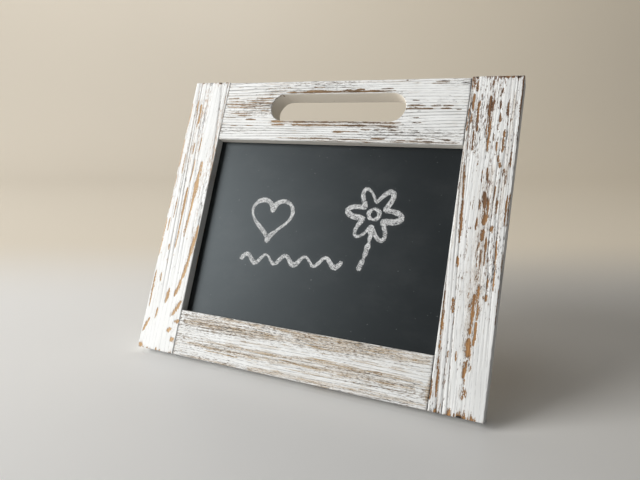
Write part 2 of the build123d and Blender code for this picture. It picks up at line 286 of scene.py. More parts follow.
def skin_mesh(name, places, values, ends_closed):
    """A closed skin on a grid of places: every row is a ring of quads to the next row. The first and last
    ring are closed by a fan to their middle, or, without ends, joined to each other. Values are point
    attributes by name."""
    rows, columns = places.shape[:2]
    ring = np.arange(rows * columns).reshape(rows, columns)
    ahead = np.roll(ring, -1, axis=1)
    last = rows - 1 if ends_closed else rows
    above = np.roll(ring, -1, axis=0)
    above_ahead = np.roll(above, -1, axis=1)
    quads = np.stack([ring, ahead, above_ahead, above], axis=-1)[:last].reshape(-1, 4)
    points = places.reshape(-1, 3)
    fans = np.empty((0, 3), int)
    if ends_closed:
        low_middle = np.full(columns, rows * columns)
        high_middle = low_middle + 1
        fans = np.vstack([
            np.stack([ahead[0], ring[0], low_middle], axis=-1),
            np.stack([ring[-1], ahead[-1], high_middle], axis=-1),
        ])
        points = np.vstack([points, places[0].mean(0), places[-1].mean(0)])
    corner = points[quads]
    spans = np.cross(corner[:, 2] - corner[:, 0], corner[:, 3] - corner[:, 1])
    if np.sum(corner.mean(1) * spans) < 0.0:
        quads, fans = quads[:, ::-1], fans[:, ::-1]

    mesh = bpy.data.meshes.new(name)
    mesh.vertices.add(len(points))
    mesh.vertices.foreach_set("co", points.astype(np.float32).ravel())
    mesh.loops.add(quads.size + fans.size)
    mesh.loops.foreach_set("vertex_index", np.concatenate([quads.ravel(), fans.ravel()]).astype(np.int32))
    starts = np.concatenate([4 * np.arange(len(quads)), quads.size + 3 * np.arange(len(fans))])
    mesh.polygons.add(len(starts))
    mesh.polygons.foreach_set("loop_start", starts.astype(np.int32))
    mesh.update(calc_edges=True)
    mesh.shade_smooth()
    mesh.set_sharp_from_angle(angle=np.radians(50.0))
    for title, value in values.items():
        wide = value.ndim == 3
        flat = value.reshape(rows * columns, -1)
        if ends_closed:
            middles = [value[end].reshape(columns, -1).mean(0) for end in (0, -1)]
            flat = np.vstack([flat, *middles])
        stored = mesh.attributes.new(title, "FLOAT_VECTOR" if wide else "FLOAT", "POINT")
        stored.data.foreach_set("vector" if wide else "value", flat.astype(np.float32).ravel())
    piece = bpy.data.objects.new(name, mesh)
    bpy.context.scene.collection.objects.link(piece)
    return piece


def timber_batten(name, width, depth, length, rebate, rebate_span, timber, streaks, ends, to_world):
    """A brushed batten: its section carried along its length, rebated between the two ends of rebate_span,
    with every point sunk along its outward direction by the weathering. ends gives the place along of both
    ends for a place forward, and to_world turns across, forward and along into world places. The end grain
    is painted, with less wear towards its middle."""
    point_spacing = 0.27
    row_spacing = 0.86
    cap_rings = 9
    share, inset, run = batten_rows(length, row_spacing, end_round, cap_rings)
    plain = batten_section(width, depth, arris_radius, 0.0, rebate_level, point_spacing)
    rebated = batten_section(width, depth, arris_radius, rebate, rebate_level, point_spacing)
    in_rebate = ((run > rebate_span[0]) & (run < rebate_span[1])).astype(float)
    across = plain[:, 0] + in_rebate * (rebated[:, 0] - plain[:, 0])
    forward = plain[:, 1] + in_rebate * (rebated[:, 1] - plain[:, 1])
    out_across, out_forward, brushed, arris = plain[:, 2:].T
    inner_across = width / 2 + share * (across - width / 2)
    inner_forward = depth / 2 + share * (forward - depth / 2)
    low_end, high_end = ends(inner_forward)
    along = low_end + run / length * (high_end - low_end)
    grain = np.stack([inner_across, inner_forward, along], axis=-1)
    sunk, marks = weathering(grain, brushed + 0.0 * along, arris + 0.0 * along, timber, streaks)
    at_end = (share < 1.0) | (inset > 0.0)
    marks["bare"] = marks["bare"] - 3.0 * (1.0 - share)
    marks["fray"] = marks["fray"] - 1.5 * (1.0 - share)
    marks["brushed"] = np.where(at_end, np.maximum(brushed, 0.4), marks["brushed"])
    sunk[:cap_rings] = sunk[cap_rings]
    sunk[-cap_rings:] = sunk[-cap_rings - 1]
    across = width / 2 + share * (across - (inset + sunk) * out_across - width / 2)
    forward = depth / 2 + share * (forward - (inset + sunk) * out_forward - depth / 2)
    return skin_mesh(name, to_world(across, forward, along), marks, True)


def node(tree, kind, inputs=None, **settings):
    """Adds a shader node. Settings are its properties, and inputs gives a value or another node's output
    for a socket by name or number."""
    made = tree.nodes.new(kind)
    for name, setting in settings.items():
        setattr(made, name, setting)
    for socket, value in (inputs or {}).items():
        if isinstance(value, bpy.types.NodeSocket):
            tree.links.new(value, made.inputs[socket])
        else:
            made.inputs[socket].default_value = value
    return made


def attribute(tree, title, output="Fac"):
    """A point attribute of the mesh, as a number, or as a place by its Vector output."""
    return node(tree, "ShaderNodeAttribute", attribute_name=title).outputs[output]


def noise_of(tree, place, scale, detail, roughness=0.55):
    """Noise texture read at a place."""
    inputs = {"Vector": place, "Scale": scale, "Detail": detail, "Roughness": roughness}
    return node(tree, "ShaderNodeTexNoise", inputs).outputs["Fac"]


def stretched(tree, place, scale):
    """A place scaled by its own factor along each axis."""
    return node(tree, "ShaderNodeMapping", {"Vector": place, "Scale": scale}).outputs["Vector"]


def grained(tree, place, shrink, scale, detail, roughness=0.55):
    """Noise drawn out along the grain, where places are shrunk."""
    return noise_of(tree, stretched(tree, place, (1.0, 1.0, shrink)), scale, detail, roughness)


def remap(tree, value, low, high, to_low=0.0, to_high=1.0):
    """Eased step of a value from low to high, onto to_low to to_high."""
    inputs = {"Value": value, "From Min": low, "From Max": high, "To Min": to_low, "To Max": to_high}
    return node(tree, "ShaderNodeMapRange", inputs, interpolation_type="SMOOTHSTEP").outputs["Result"]


def mixed(tree, share, first, second):
    """First colour going over to the second by a share. The mix node's colour sockets are its numbers 6 and
    7."""
    return node(tree, "ShaderNodeMix", {0: share, 6: first, 7: second}, data_type="RGBA").outputs[2]


def summed(tree, first, second):
    """One value plus another."""
    return node(tree, "ShaderNodeMath", {0: first, 1: second}, operation="ADD").outputs[0]


def times(tree, first, second):
    """One value times another."""
    return node(tree, "ShaderNodeMath", {0: first, 1: second}, operation="MULTIPLY").outputs[0]


def ramp(tree, value, stops):
    """Colour from a ramp with a list of (place, colour) stops."""
    made = node(tree, "ShaderNodeValToRGB", {"Fac": value})
    elements = made.color_ramp.elements
    while len(elements) < len(stops):
        elements.new(0.5)
    for element, (place, colour) in zip(elements, stops):
        element.position = place
        element.color = colour
    return made.outputs["Color"]


def new_material(name):
    """A node material, its tree and its surface shader."""
    material = bpy.data.materials.new(name)
    material.use_nodes = True
    return material, material.node_tree, material.node_tree.nodes["Principled BSDF"]


def set_surface(tree, surface, colour, roughness, height, strength, distance):
    """Joins a colour, a roughness and a fine relief, given by a height, to a surface shader."""
    tree.links.new(colour, surface.inputs["Base Color"])
    tree.links.new(roughness, surface.inputs["Roughness"])
    bump = node(tree, "ShaderNodeBump", {"Height": height, "Strength": strength, "Distance": distance})
    tree.links.new(bump.outputs["Normal"], surface.inputs["Normal"])


def worn_paint_material(name, wood_dark, wood_light, aged, crumble, thinness, stain, groove_dirt_and_shade, groove_shade_lines,
                        split_size, split_share, rim_shade, grit_size, grit_share, combed, wall_wash_and_shade, tan):
    """White paint over brushed softwood, drawn from the weathering's marks. Wood shows where the bare mark
    says the paint is gone, with edges broken by crumble and by combed lines, a dark rim inside, which is
    painted shade of the paint film's edge, and a speckled stain outside. It goes darker along the timber
    by aged, and black where it frays most, which is painted shade in the deepest chips. Splits along the
    grain open the paint where it frays. Dirt and painted shade lie in the troughs, the growth rings'
    grooves are broken grey lines of painted shade, thin paint lets the wood's fine lines through, the
    placed bands are tan with grit in them, walls that weren't brushed have one dull wash, darker grey on
    the stiles as painted shade, and joints are dark."""
    white_paint = (0.865, 0.877, 0.872, 1.0)
    # The trough colour is dirt and painted shade in the grooves; the line grey is painted shade in the ring
    # grooves.
    trough_dirt_and_shade = (0.30, 0.295, 0.285, 1.0)
    grey_wood = (0.055, 0.046, 0.040, 1.0)
    beige = (0.44, 0.40, 0.34, 1.0)
    groove_shade_grey = (0.31, 0.315, 0.33, 1.0)
    # Black wood is for dark joints and for painted shade in deep chips; rim wood is painted shade at the paint
    # film's edge.
    black_wood_and_shade = (0.025, 0.019, 0.015, 1.0)
    rim_shade_wood = (0.055, 0.038, 0.027, 1.0)
    thick, long = split_size
    stain_share, stain_start = stain
    material, tree, surface = new_material(name)
    place = attribute(tree, "timber_place", "Vector")
    titles = ("bare", "fray", "groove", "ring", "reach", "brushed", "tint", "seam")
    bare, fray, groove, ring, reach, brushed, tint, seam = (attribute(tree, title) for title in titles)
    fibre = grained(tree, place, 0.06, 1.5, 5.0, 0.65)
    line = grained(tree, place, 0.035, 1.3, 5.0, 0.7)
    crumb = grained(tree, place, 0.4, 1.6, 4.0, 0.7)
    dash = grained(tree, place, thick / long, 1.0 / thick, 3.0, 0.6)
    grit = grained(tree, place, 0.35, 1.0 / grit_size, 2.0, 0.7)
    comb = grained(tree, place, 0.05, 0.85, 2.0, 0.6)
    warmth = grained(tree, place, 0.2, 0.16, 3.0)
    blotch = grained(tree, place, 0.3, 0.09, 3.0)

    edge = summed(tree, bare, remap(tree, crumb, 0.25, 0.75, -crumble, crumble))
    edge = summed(tree, edge, remap(tree, comb, 0.3, 0.7, -combed, combed))
    gone = remap(tree, edge, 0.26, 0.46)
    torn = summed(tree, dash, times(tree, fray, 0.19))
    broken = remap(tree, torn, 0.668, 0.695, 0.0, split_share)
    wood = ramp(tree, fibre, [(0.30, wood_dark), (0.55, wood_light), (0.75, wood_dark)])
    old = summed(tree, remap(tree, warmth, 0.40, 0.65, 0.0, 0.5), remap(tree, reach, 0.15, 0.85, *aged))
    wood = mixed(tree, old, wood, wood_dark)
    # A dark rim just inside the bare edge is painted shade of the paint film's edge.
    wood = mixed(tree, remap(tree, edge, 1.35, 0.40, 0.0, rim_shade), wood, rim_shade_wood)
    # Where it frays most the wood goes black: painted shade in the deepest chips.
    wood = mixed(tree, remap(tree, fray, 0.95, 1.35), wood, black_wood_and_shade)
    split = mixed(tree, remap(tree, warmth, 0.38, 0.54), grey_wood, wood_dark)

    # Troughs and channels darken the paint as dirt and painted shade; the blotches are dirt.
    dirt_and_groove_shade = remap(tree, groove, 0.10, 0.8, 0.0, groove_dirt_and_shade)
    dirt_and_groove_shade = summed(tree, dirt_and_groove_shade, remap(tree, blotch, 0.42, 0.75, 0.0, 0.12))
    dirt_and_groove_shade = summed(tree, dirt_and_groove_shade, remap(tree, groove, 0.9, 2.2, 0.0, 0.45))
    coat = mixed(tree, dirt_and_groove_shade, white_paint, trough_dirt_and_shade)
    streaky = remap(tree, line, 0.49, 0.58)
    thin = times(tree, streaky, remap(tree, bare, -1.9, -0.3, 0.45 * thinness, thinness))
    coat = mixed(tree, thin, coat, beige)
    speckle = remap(tree, summed(tree, streaky, crumb), 0.5, 1.1, 0.25, 1.0)
    stained = times(tree, remap(tree, bare, stain_start, 0.2, 0.0, stain_share), speckle)
    coat = mixed(tree, stained, coat, tan)
    band = times(tree, tint, remap(tree, summed(tree, line, crumb), 0.82, 1.14, 0.28, 1.12))
    coat = mixed(tree, band, coat, tan)
    dotted = summed(tree, tint, remap(tree, fray, -0.1, 1.2, 0.0, 0.5))
    coat = mixed(tree, times(tree, dotted, remap(tree, grit, 0.56, 0.62, 0.0, grit_share)), coat, split)
    # Broken grey lines on the ring grooves are painted shade.
    wave = node(tree, "ShaderNodeMath", {0: times(tree, ring, 2.0 * np.pi)}, operation="COSINE").outputs[0]
    shaded_ring_mask = times(tree, remap(tree, wave, 0.80, 0.97, 0.0, groove_shade_lines), remap(tree, dash, 0.38, 0.56))
    coat = mixed(tree, times(tree, shaded_ring_mask, remap(tree, brushed, 0.05, 0.3)), coat, groove_shade_grey)
    # Walls that weren't brushed take the wash, which for the stiles is darkened as painted shade.
    coat = mixed(tree, remap(tree, brushed, 0.25, 0.05), coat, wall_wash_and_shade)

    colour = mixed(tree, broken, coat, split)
    colour = mixed(tree, gone, colour, wood)
    colour = mixed(tree, seam, colour, black_wood_and_shade)
    lost = node(tree, "ShaderNodeMath", {0: gone, 1: broken}, operation="MAXIMUM").outputs[0]
    film = summed(tree, remap(tree, lost, 0.0, 1.0, 1.0, 0.0), times(tree, line, 0.5))
    set_surface(tree, surface, colour, remap(tree, lost, 0.0, 1.0, 0.52, 0.80), film, 0.7, 0.0002)
    return material


# A timber's channels, calm places and thin bands are placed on it in millimetres, as its worn streaks are.
# Ragged and fleck are sizes across and along, fray is for both ends, and holds are what the paint withstands
left_timber = {
    "seed": 3, "length": frame_height, "pith": (74, -18, -0.05), "ring_pitch": 3.6, "waver": (1.2, 0.35),
    "grooved": 0.2, "groove_depth": 0.28, "line_depth": 0.10, "chipped": 0.2, "end_wear": 1.0, "seam": 0.0,
    "ragged": (0.8, 9), "streak_hold": -0.3, "fleck": (0.8, 5), "paint_hold": 1.24, "fray": (0.08, 0.2),
    "patchy": 0.6, "tinted": 0.28,
    "channels": [(49, 28, 1, 1.6), (15, 4, 0.6, 1.3), (19.4, 6.4, 0.6, 1.3), (24.5, 11.5, 0.5, 1),
                 (28, 15.5, 0.5, 0.9), (46.5, 33.5, 0.5, 1.1)],
    "calm": [(18, -10, 30, 52, 1.05), (22, 40, 12, 30, 0.4), (24.5, 185, 6, 70, 0.6)],
    "thin": [(1, 140, 1, 218, 2.6), (7, 135, 5.2, 226, 2.4), (11.8, 140, 9.8, 226, 2.6),
             (16.6, 120, 15.4, 190, 2.2)],
}
right_timber = {
    "seed": 8, "length": frame_height, "pith": (-60, -22, 0.05), "ring_pitch": 3.4, "waver": (1.2, 0.35),
    "grooved": 0.0, "groove_depth": 0.30, "line_depth": 0.14, "chipped": 0.7, "end_wear": 1.0, "seam": 0.0,
    "ragged": (0.9, 6), "streak_hold": -0.15, "fleck": (0.8, 5), "paint_hold": 1.25, "fray": (-0.14, 0.28),
    "patchy": 0.6, "tinted": 0.30,
    "channels": [(26.6, 38.5, 0.6, 1.4), (23.7, 35.7, 0.5, 1.4), (30, 45, 0.9, 1.8), (-2, 4, 0.5, 1),
                 (2, 8.6, 0.6, 1)],
    "calm": [(4, 10, 9, 55, 0.95), (20, 60, 4, 60, 0.5), (31, 60, 2.5, 60, 0.6)],
    "thin": [(16.5, 40, 15, 170, 13), (5, 120, 5.2, 225, 3.6), (34.6, 110, 34.6, 236, 3.4)],
}
# Worn streaks, each from (across from the outer edge, along from the foot) to another place, and its width
left_streaks = [
    (10.6, 217, 11.4, 199, 2.3), (6.4, 221, 7.2, 204, 1.2), (12.4, 181, 12.6, 170, 1.3),
    (16.5, 165, 16.2, 145, 1.3), (15.4, 139.5, 15.8, 112, 2.3), (15.8, 114, 15.6, 86, 1.6),
    (24.3, 163.5, 22.9, 118, 3.2), (22.9, 121, 22.4, 96, 2.1), (34.6, 107, 32.2, 77, 2.8),
    (32.2, 79, 29.4, 60, 2.8), (29.5, 61, 25.9, 46, 2.6), (34.6, 43.5, 26.4, 29, 2.8),
    (19.6, 52, 18.2, 39, 2.2), (1.9, 65, 2.6, 34, 1.5), (7.9, 64, 8.3, 56, 1.5), (9.2, 88.5, 9.4, 84, 1.6),
    (11.8, 34, 11.3, 25, 1.6), (6, 24.5, 1.4, 13, 2.1), (35.5, 26.2, 31.6, 25.8, 2.8),
    (29.8, 19.5, 26.2, 17, 3.2), (33.6, 12, 31.4, 10, 3.2), (0.4, 2.6, 4.6, 1.6, 3.4),
    (0.6, 218, 0.6, 190, 1), (0.6, 184, 0.7, 158, 1), (0.6, 152, 0.7, 118, 1), (0.6, 112, 0.7, 78, 1),
    (5.2, 171, 5.6, 152, 1), (7, 131, 7.2, 112, 1.1), (4, 112, 4.2, 100, 1), (18.6, 186, 18.4, 172, 0.9),
]
right_streaks = [
    (33, 224, 32.4, 211, 2.6), (28.3, 218.5, 29.3, 199.5, 2.4), (29.8, 196, 29.2, 181, 2.4),
    (20.6, 222.5, 20.4, 208, 4.4), (20, 211, 19.6, 193, 2.8), (19.8, 195, 19.4, 180, 1.8),
    (21.6, 201, 21.4, 191, 1.2), (8.4, 219, 8, 206.5, 2.2), (9.3, 190.5, 9, 181, 2),
    (13.5, 188, 12.8, 180, 1.4), (12.8, 180.5, 10.6, 173, 2), (10.6, 174, 9, 169, 1.6),
    (6, 168.5, 4.8, 157, 2), (17.2, 169, 16.6, 159, 1.5), (20.4, 168, 20.2, 158, 1.1),
    (8.6, 161, 8.3, 151, 1.2), (17.2, 152, 16.8, 141, 2), (16, 150, 15.6, 128, 1.8),
    (14.5, 148, 14.3, 138, 1.5), (13.7, 145, 13.5, 131, 1.6), (15.3, 137, 15.2, 128.5, 2.4),
    (8.1, 146, 8, 140, 1.4), (9.8, 127.5, 9.4, 123, 3.2), (15.2, 124.5, 15.4, 117, 3.2),
    (33.7, 175, 31.2, 145, 1.6), (31.2, 146, 29.9, 114, 1.7), (29.7, 105, 29.2, 97, 1.9),
    (28.8, 76, 28.4, 66, 2.2), (14.6, 111, 14.5, 96, 1.4), (14.6, 97.5, 14.7, 88.5, 3.4),
    (13.5, 88, 13.2, 79, 2), (15, 79.5, 14.8, 66, 4.8), (12.6, 75, 12.3, 63, 2),
    (15.2, 66.5, 15.2, 54, 2.5), (12.3, 62, 12.2, 47, 2.2), (15.3, 50.5, 15.4, 39, 3.6),
    (13.6, 44, 13.4, 36, 1.8), (14.6, 36.5, 14.5, 29, 4.2), (16, 31.5, 16.1, 25, 2.2),
    (14.8, 24.5, 14.7, 21, 1.9), (15, 19.5, 15, 11.5, 3), (8.1, 80.5, 7.9, 77, 3), (8.4, 92, 8.2, 81, 1.1),
    (35.2, 80, 33.4, 45, 1.5), (33.6, 47, 31.6, 10, 1.7), (27.4, 41, 27.2, 36, 1.6),
    (22.4, 41, 22.2, 35, 1.3), (22.1, 5, 21.9, -2, 2.4), (18, 1, 6.5, 0.4, 5), (31.2, 2, 31, -2, 2.6),
    (0.4, 226, 0.4, 204, 0.8), (34.4, 237, 33.6, 229, 2.4), (35.6, 214, 35.2, 196, 1.8),
    (31.6, 234, 31.2, 226, 1.4), (20.5, 234.5, 20.3, 229, 2), (13.4, 228.5, 14.6, 221.5, 1.5),
    (14.2, 219.5, 13.9, 212.5, 1.4), (13.3, 209.5, 12.9, 202.5, 1.5), (14, 201.5, 13.8, 196.5, 1.3),
    (16.2, 194.5, 16, 188.5, 1.2), (8.9, 197.5, 8.8, 191.5, 1.3), (33, 209.5, 32.8, 202.5, 1.7),
    (28.6, 200.5, 28.4, 195.5, 1.8), (35.2, 236.5, 35, 228, 2), (16, 237.4, 9, 237.6, 2.2),
    (5.6, 118, 4.6, 100, 1.3), (4.4, 104, 4.2, 84, 1.1), (8.4, 150, 8.6, 132, 1.1),
    (10.6, 156, 10.8, 140, 1), (12.4, 120, 12, 100, 1.2), (17, 118, 16.6, 98, 1.2),
    (19.8, 146, 19.6, 138, 1), (3, 186, 2.8, 170, 1), (2.2, 150, 2, 128, 1), (20.2, 133, 20, 124, 1.2),
    (35.6, 21, 35.6, 8, 1.8), (0.2, 238, 0.2, 224, 1.5), (0.2, 206, 0.2, 186, 0.8), (0.4, 152, 0.4, 128, 1),
    (0.4, 112, 0.4, 97, 1), (0.4, 86, 0.4, 62, 1.1),
]
# The stiles' unbrushed walls get a grey wash, darker than the rails': thin paint and painted shade on the walls of
# the opening.
stile_wash_and_shade = (0.58, 0.59, 0.57, 1.0)
worn_tan = (0.39, 0.28, 0.17, 1.0)
left_paint = worn_paint_material(
    "left_stile_paint", (0.46, 0.28, 0.145, 1.0), (0.68, 0.455, 0.25, 1.0), aged=(0.0, 0.0), crumble=0.55,
    thinness=0.10, stain=(0.15, -1.3), groove_dirt_and_shade=0.28, groove_shade_lines=0.2, split_size=(0.7, 4.0), split_share=0.55,
    rim_shade=0.12, grit_size=0.8, grit_share=1.3, combed=0.3, wall_wash_and_shade=stile_wash_and_shade, tan=worn_tan,
)
right_paint = worn_paint_material(
    "right_stile_paint", (0.16, 0.078, 0.035, 1.0), (0.56, 0.295, 0.11, 1.0), aged=(0.0, 0.55), crumble=0.75,
    thinness=0.22, stain=(0.25, -1.3), groove_dirt_and_shade=0.4, groove_shade_lines=0.36, split_size=(0.7, 4.0), split_share=0.9,
    rim_shade=0.42, grit_size=0.8, grit_share=1.3, combed=0.6, wall_wash_and_shade=stile_wash_and_shade, tan=worn_tan,
)
heel_cut = node_extents("left_stile", np.eye(3), np.zeros(3))[0][2]


def stile_ends(forward):
    """A stile's foot, which is cut level with the table where the board leans on it, and its square top."""
    table = (heel_cut - board_foot[2] / MM - forward * to_front[2]) / up_board[2]
    return np.maximum(table, 0.0), np.full_like(forward, frame_height)


for side, name, timber, streaks, paint in (
    (1.0, "left_stile", left_timber, left_streaks, left_paint),
    (-1.0, "right_stile", right_timber, right_streaks, right_paint),
):
    def stile_to_world(across, forward, along):
        """Across counts from the outer edge, so the right stile is the left one's mirror image. What would go
        through the table is cut level."""
        rise = np.maximum(along, stile_ends(forward)[0])
        return on_board(side * (across - frame_half_width), rise, forward)

    stile = timber_batten(name + "_brushed", stile_width, frame_depth, frame_height, rebate_width,
                          rebate_ends, timber, streaks, stile_ends, stile_to_world)
    stile.data.materials.append(paint)
    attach(stile, "frame")
    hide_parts(name)

# Bottom rail. A batten like the stiles but more worn: its thin paint is rubbed through in bands and specks.
# It butts between the stiles on two glued dowels at each end, and its rebate runs from end to end.
rail_low, rail_high = node_extents("bottom_rail", board_axes, board_foot)
rail_length = rail_high[0] - rail_low[0]
bottom_timber = {
    "seed": 14, "length": rail_length, "pith": (-48, -20, 0.015), "ring_pitch": 1.9, "waver": (1, 0.3),
    "grooved": 0.3, "groove_depth": 0.40, "line_depth": 0.15, "chipped": 1.0, "end_wear": 0.2, "seam": 0.85,
    "ragged": (0.55, 9), "streak_hold": 1.25, "fleck": (0.55, 7), "paint_hold": 1.7, "fray": (0.28, 0.34),
    "patchy": 0.25, "tinted": 0.52,
    "channels": [],
    "calm": [(19.6, 104, 2.4, 220, 0.9), (5.2, 104, 1.8, 160, 0.8), (23.5, 190, 3, 50, 0.7),
             (30, 10, 6, 26, -0.3), (14, 170, 5, 30, -0.25), (21, 20, 5, 26, -0.25)],
    "thin": [(27.5, 5, 28.5, 100, 8), (28.5, 95, 31.5, 205, 9), (34.6, 30, 34.2, 200, 4),
             (11, 12, 10.8, 105, 4.4), (12, 100, 12.6, 198, 5), (14.8, 28, 15, 105, 3.4),
             (16.8, 105, 17, 202, 5), (2.6, 70, 2.8, 200, 3.4), (1, 8, 1, 60, 2), (5, 206.6, 20, 206.8, 4)],
}
rail_wash = (0.82, 0.77, 0.69, 1.0)
bottom_paint = worn_paint_material(
    "bottom_rail_paint", (0.20, 0.128, 0.070, 1.0), (0.44, 0.30, 0.165, 1.0), aged=(0.0, 0.0), crumble=1.0,
    thinness=0.9, stain=(0.9, -2.0), groove_dirt_and_shade=0.5, groove_shade_lines=0.9, split_size=(0.45, 3.0), split_share=0.85,
    rim_shade=0.25, grit_size=0.75, grit_share=0.95, combed=0.3, wall_wash_and_shade=rail_wash, tan=(0.45, 0.318, 0.168, 1.0),
)
# Worn streaks here run from (up from the bottom edge, along from the left end)
bottom_streaks = [
    (27.6, 5, 27.4, 22, 3), (28, 26, 28.2, 46, 3.4), (28.4, 40, 28, 62, 5), (29, 58, 29.4, 94, 4.6),
    (35, 39, 34.8, 53, 2.6), (34.4, 52, 34.2, 76, 2.2), (34.6, 84, 33.4, 100, 2.6),
    (32.4, 102, 32.6, 124, 5), (33.6, 122, 33.4, 148, 3.6), (33.6, 147, 32.4, 164, 3.2),
    (32.2, 162, 32, 188, 3.4), (31, 194, 31.4, 206, 2.4), (26.6, 104, 26.4, 152, 2),
    (14.7, 38, 14.6, 54, 2), (15, 66, 15.3, 106, 2.6), (12.4, 96, 12.2, 136, 3.2),
    (17.4, 116, 17.6, 160, 3.2), (16.8, 158, 17.4, 195, 3.4), (11, 12, 11, 32, 1.8), (11, 30, 11, 44, 2),
    (11, 50, 10.6, 76, 2.6), (11, 142, 11, 156, 2), (11.6, 172, 12, 198, 2.4), (0.8, 11, 0.8, 26, 1.6),
    (1.2, 70, 1.2, 82, 2), (4.3, 90, 4.3, 97, 1.6), (2.2, 112, 2.4, 136, 1.6), (4.4, 160, 4.8, 180, 1.8),
    (6, 207, 20, 207.4, 2.4), (20.6, 60, 20.8, 96, 1.6), (23, 150, 22.6, 196, 2), (7.6, 100, 7.8, 150, 1.6),
    (8, 30, 7.8, 60, 1.4),
]


def table_height(forward):
    """Rise of the table's surface on the leaning board at a place forward, in millimetres."""
    return (-board_foot[2] / MM - forward * to_front[2]) / up_board[2]


def bottom_rail_ends(forward):
    """Both ends of the bottom rail are square."""
    return np.zeros_like(forward), np.full_like(forward, rail_length)


def bottom_rail_to_world(across, forward, along):
    """Across counts up from the bottom edge, which is cut level where it would go through the table."""
    return on_board(rail_low[0] + along, np.maximum(across, table_height(forward)), forward)


through_ends = (-1.0, rail_length + 1.0)
bottom_rail = timber_batten("bottom_rail_brushed", rail_high[1] - rail_low[1], frame_depth, rail_length,
                            rebate_width, through_ends, bottom_timber, bottom_streaks, bottom_rail_ends,
                            bottom_rail_to_world)
bottom_rail.data.materials.append(bottom_paint)
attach(bottom_rail, "frame")
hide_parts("bottom_rail")

# Top rail. A wider board than the bottom rail, planed a little shy of the stiles' tops, with a hand slot
# routed through it before it was painted, so that the slot's wall is smooth. It is doweled and rebated as
# the bottom rail is.
rail_low, rail_high = node_extents("top_rail", board_axes, board_foot)
rail_shy = 0.7
slot_length = 115.5
slot_height = 23.6
slot_arris = 0.6
slot_mount = next(mount for mount in frame["record"]["mounts"] if mount["name"] == "hand_slot")
slot_rise = (np.array(slot_mount["pos_m"]) - board_foot) @ up_board / MM
top_timber = {
    "seed": 21, "length": rail_length, "pith": (-85, -30, 0), "ring_pitch": 2.1, "waver": (1.1, 0.3),
    "grooved": 0.55, "groove_depth": 0.50, "line_depth": 0.15, "chipped": 0.5, "end_wear": 0.15, "seam": 0.6,
    "ragged": (0.45, 9), "streak_hold": -0.1, "fleck": (0.5, 8), "paint_hold": 1.22, "fray": (0.36, 0.05),
    "patchy": 0.6, "tinted": 0.27,
    "channels": [],
    "calm": [(44, 185, 4.5, 30, 0.7)],
    "thin": [(24, 4, 24, 46, 6), (31.5, 0, 31.5, 48, 8), (36.8, 2, 36.8, 46, 4), (15, 46, 15, 162, 4),
             (42.8, 66, 42.8, 148, 2.6), (50.2, 30, 50.2, 160, 2.4), (1.5, 60, 1.5, 206, 3)],
}
top_paint = worn_paint_material(
    "top_rail_paint", (0.09, 0.054, 0.028, 1.0), (0.45, 0.28, 0.14, 1.0), aged=(0.0, 0.6), crumble=0.5,
    thinness=0.25, stain=(0.4, -1.3), groove_dirt_and_shade=0.55, groove_shade_lines=0.85, split_size=(0.5, 8.0), split_share=0.9,
    rim_shade=0.15, grit_size=0.8, grit_share=1.5, combed=0.2, wall_wash_and_shade=rail_wash, tan=worn_tan,
)
